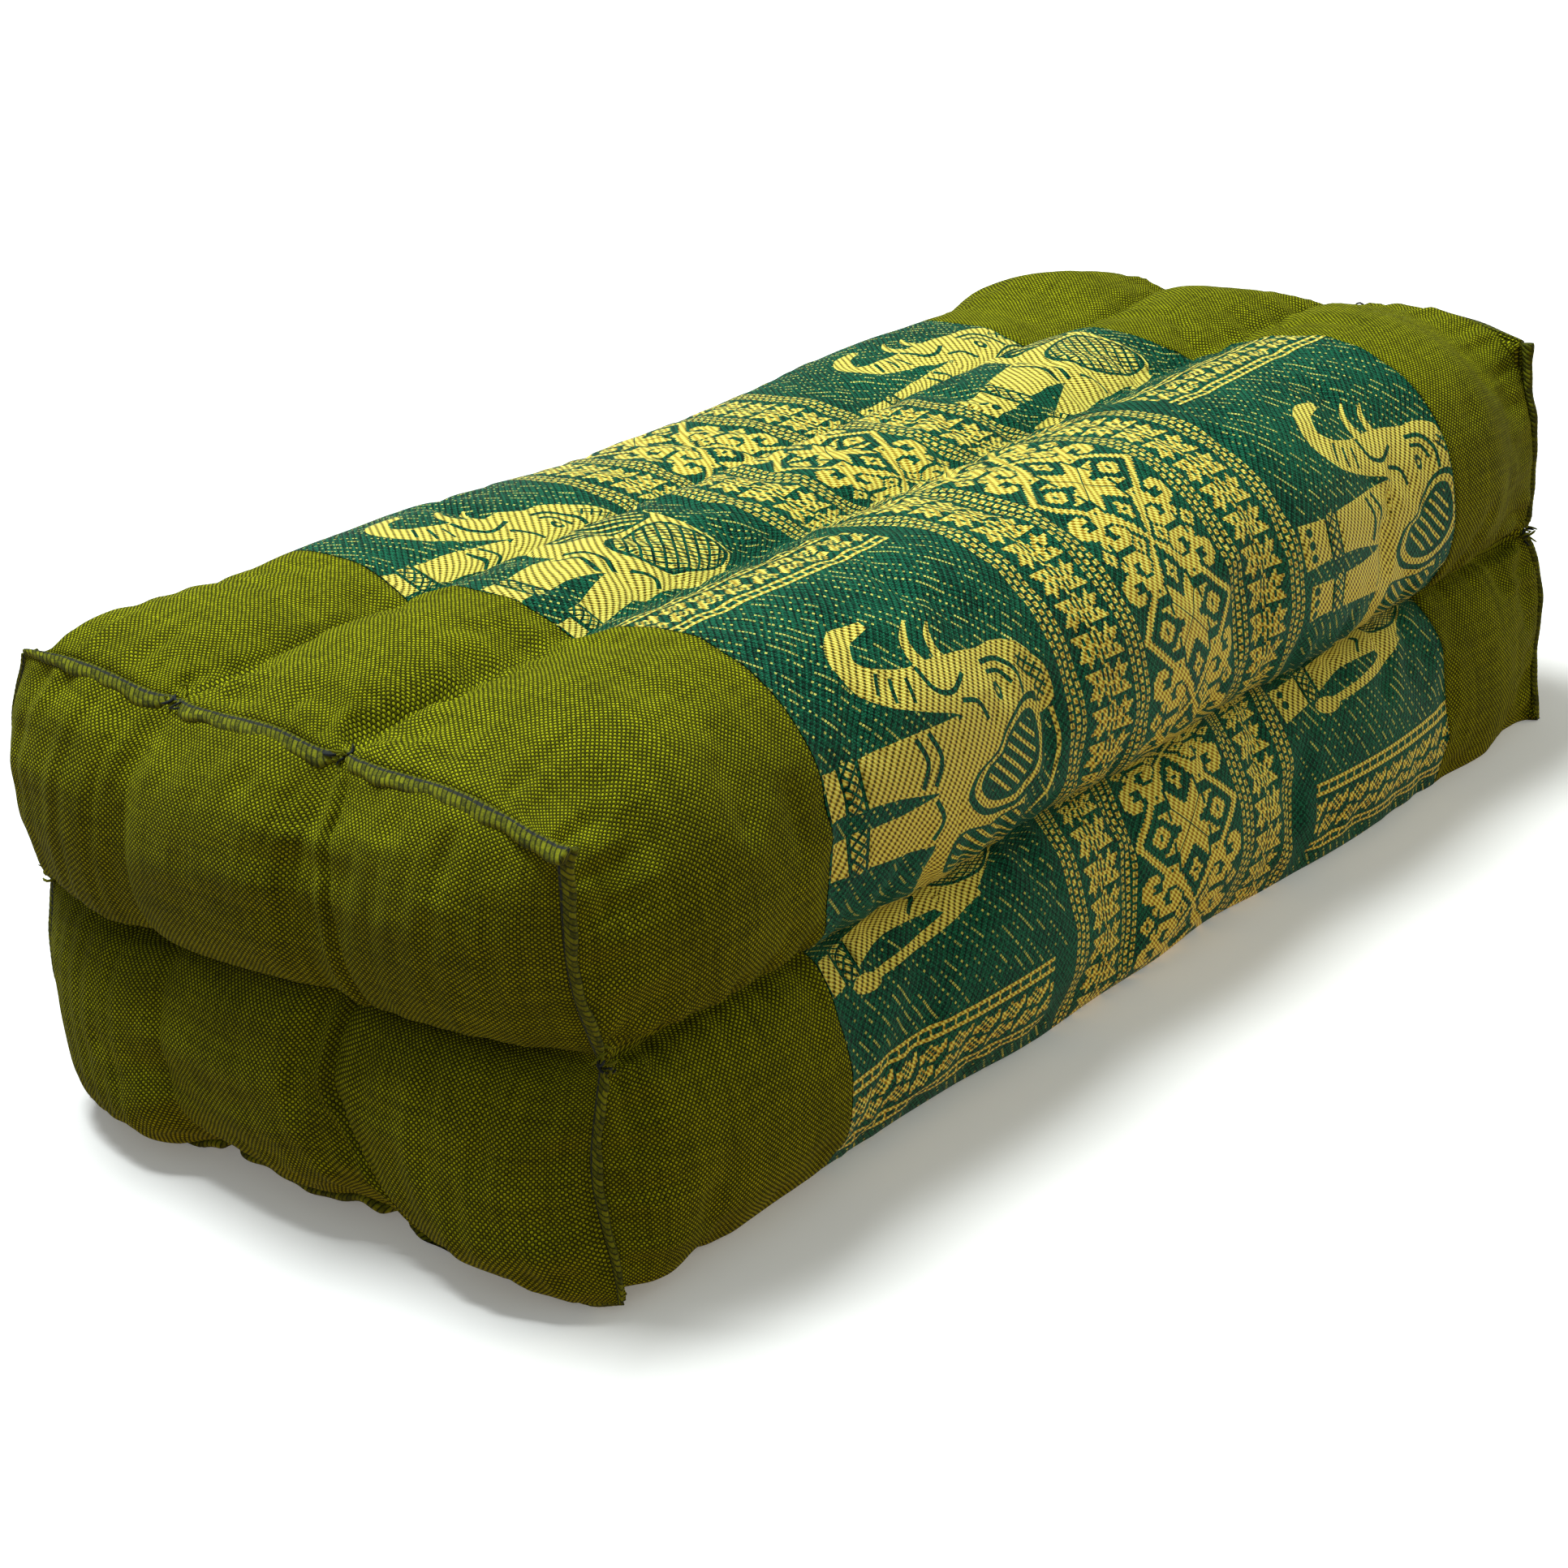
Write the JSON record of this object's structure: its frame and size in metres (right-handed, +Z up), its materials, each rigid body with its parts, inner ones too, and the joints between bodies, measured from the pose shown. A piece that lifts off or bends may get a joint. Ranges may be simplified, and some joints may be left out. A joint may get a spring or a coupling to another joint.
{
  "type": "rectangular block cushion",
  "caption": "Firm block cushion of stuffed chambers in olive cotton, with a green and gold brocade panel round its middle and raised overlocked seams round its ends.",
  "frame": {"origin": "on the floor under the middle of the cushion", "axes": "+X runs along the cushion from the near end to the far end, -Y is the front long side, +Z is up"},
  "size_m": [0.3756, 0.1728, 0.1131],
  "materials": {
    "olive_cotton": "matte plain weave",
    "gold_green_brocade": "satin brocade weave",
    "olive_overlock": "matte overlocked edge"
  },
  "bodies": {
    "root": {"cushion_body": "olive_cotton", "patterned_panel": "gold_green_brocade", "end_panel_near": "olive_cotton", "end_panel_far": "olive_cotton", "seam_edge_near_front_low_a": "olive_overlock", "seam_edge_near_front_low_b": "olive_overlock", "seam_edge_near_front_up_a": "olive_overlock", "seam_edge_near_front_up_b": "olive_overlock", "seam_edge_near_top_mid": "olive_overlock", "seam_edge_near_back_up_a": "olive_overlock", "seam_edge_near_back_up_b": "olive_overlock", "seam_edge_near_back_low_a": "olive_overlock", "seam_edge_near_back_low_b": "olive_overlock", "seam_edge_near_bottom_mid": "olive_overlock", "seam_edge_far_front_low_a": "olive_overlock", "seam_edge_far_front_low_b": "olive_overlock", "seam_edge_far_front_up_a": "olive_overlock", "seam_edge_far_front_up_b": "olive_overlock", "seam_edge_far_top_mid": "olive_overlock", "seam_edge_far_back_up_a": "olive_overlock", "seam_edge_far_back_up_b": "olive_overlock", "seam_edge_far_back_low_a": "olive_overlock", "seam_edge_far_back_low_b": "olive_overlock", "seam_edge_far_bottom_mid": "olive_overlock"}
  },
  "joints": []
}
